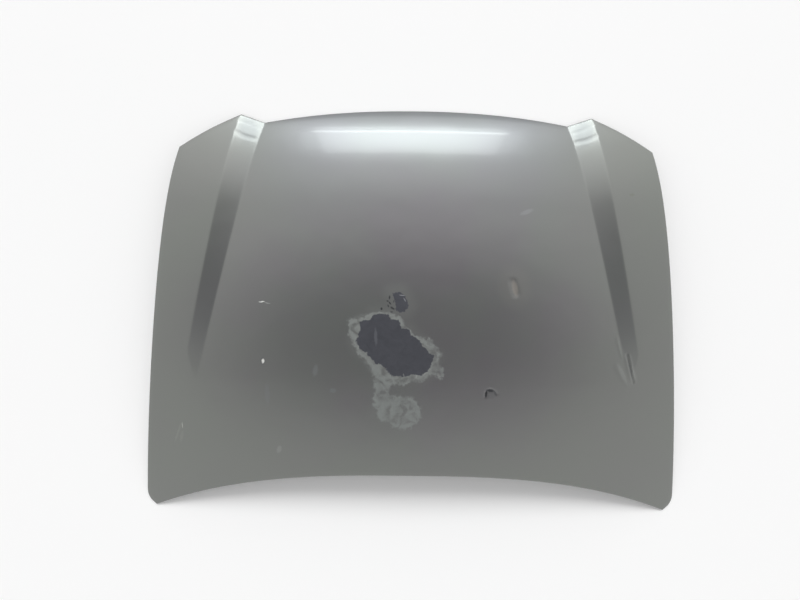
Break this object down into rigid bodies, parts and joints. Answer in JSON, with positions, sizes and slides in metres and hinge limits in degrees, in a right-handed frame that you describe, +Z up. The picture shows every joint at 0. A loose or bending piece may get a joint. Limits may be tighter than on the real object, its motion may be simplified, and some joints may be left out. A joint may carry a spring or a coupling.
{
  "type": "car bonnet",
  "caption": "Pressed steel car bonnet with raised shoulders, hemmed round a ribbed inner frame with hinge pads, striker and rubber buffers.",
  "frame": {"origin": "middle of the panel's box, on the surface that it lies on", "axes": "X across the car with the car's right at +X, seen from above with the nose ahead, +Y to the nose, +Z up and out of the painted side"},
  "size_m": [1.5062, 1.104, 0.1225],
  "materials": {
    "outer_paint": "dark grey metallic paint, dulled, with a peeled patch",
    "frame_paint": "thin grey body paint",
    "plain_steel": "coated sheet steel",
    "zinc_steel": "zinc plated",
    "black_rubber": "moulded rubber",
    "grey_mastic": "set mastic"
  },
  "bodies": {
    "root": {"outer_skin": "outer_paint", "inner_frame": "frame_paint", "hinge_reinforcement_left": "plain_steel", "hinge_weld_nut_left_1": "zinc_steel", "hinge_weld_nut_left_2": "zinc_steel", "hinge_reinforcement_right": "plain_steel", "hinge_weld_nut_right_1": "zinc_steel", "hinge_weld_nut_right_2": "zinc_steel", "striker_reinforcement": "plain_steel", "striker_plate": "zinc_steel", "striker_loop": "zinc_steel", "striker_weld_nut_1": "zinc_steel", "striker_bolt_1": "zinc_steel", "striker_weld_nut_2": "zinc_steel", "striker_bolt_2": "zinc_steel", "front_buffer_left": "black_rubber", "front_buffer_stud_left": "zinc_steel", "front_buffer_nut_left": "zinc_steel", "front_buffer_right": "black_rubber", "front_buffer_stud_right": "zinc_steel", "front_buffer_nut_right": "zinc_steel", "side_cushion_rear_left": "black_rubber", "side_cushion_rear_right": "black_rubber", "side_cushion_front_left": "black_rubber", "side_cushion_front_right": "black_rubber", "prop_rod_grommet": "black_rubber", "mastic_dab_01": "grey_mastic", "mastic_dab_02": "grey_mastic", "mastic_dab_03": "grey_mastic", "mastic_dab_04": "grey_mastic", "mastic_dab_05": "grey_mastic", "mastic_dab_06": "grey_mastic", "mastic_dab_07": "grey_mastic", "mastic_dab_08": "grey_mastic", "mastic_dab_09": "grey_mastic", "mastic_dab_10": "grey_mastic", "mastic_dab_11": "grey_mastic", "mastic_dab_12": "grey_mastic", "mastic_dab_13": "grey_mastic", "mastic_dab_14": "grey_mastic", "mastic_dab_15": "grey_mastic", "mastic_dab_16": "grey_mastic"}
  },
  "joints": []
}
